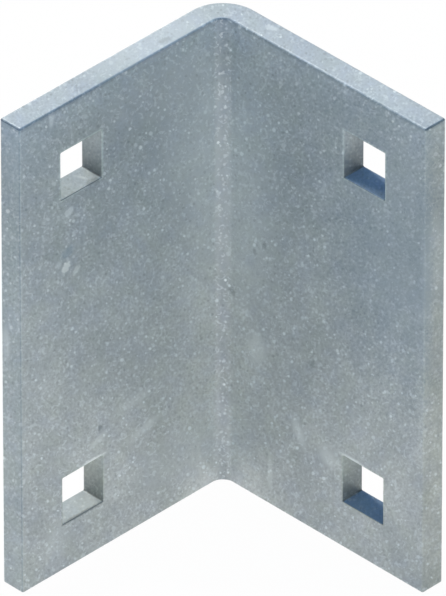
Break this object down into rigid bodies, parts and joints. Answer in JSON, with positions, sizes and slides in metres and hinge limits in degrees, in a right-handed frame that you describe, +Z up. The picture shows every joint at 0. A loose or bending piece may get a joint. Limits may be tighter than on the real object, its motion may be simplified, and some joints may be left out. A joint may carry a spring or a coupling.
{
  "type": "dock angle bracket",
  "caption": "Thick galvanised steel plate folded at a right angle into equal legs with square bolt holes, for bolting the corners of a timber dock frame.",
  "frame": {"origin": "middle of the square footprint, on the plane of the lower end", "axes": "+Z up along the fold; the right leg runs along +X with its outer face towards +Y, and the left leg runs along -Y with its outer face towards -X, so the hollow side faces +X and -Y"},
  "size_m": [0.0698, 0.0698, 0.127],
  "materials": {
    "galvanised_plate": "hot-dip galvanised, matt blue-grey with cloudy patches and fine pale flecks"
  },
  "bodies": {
    "root": {"angle_plate": "galvanised_plate"}
  },
  "joints": []
}
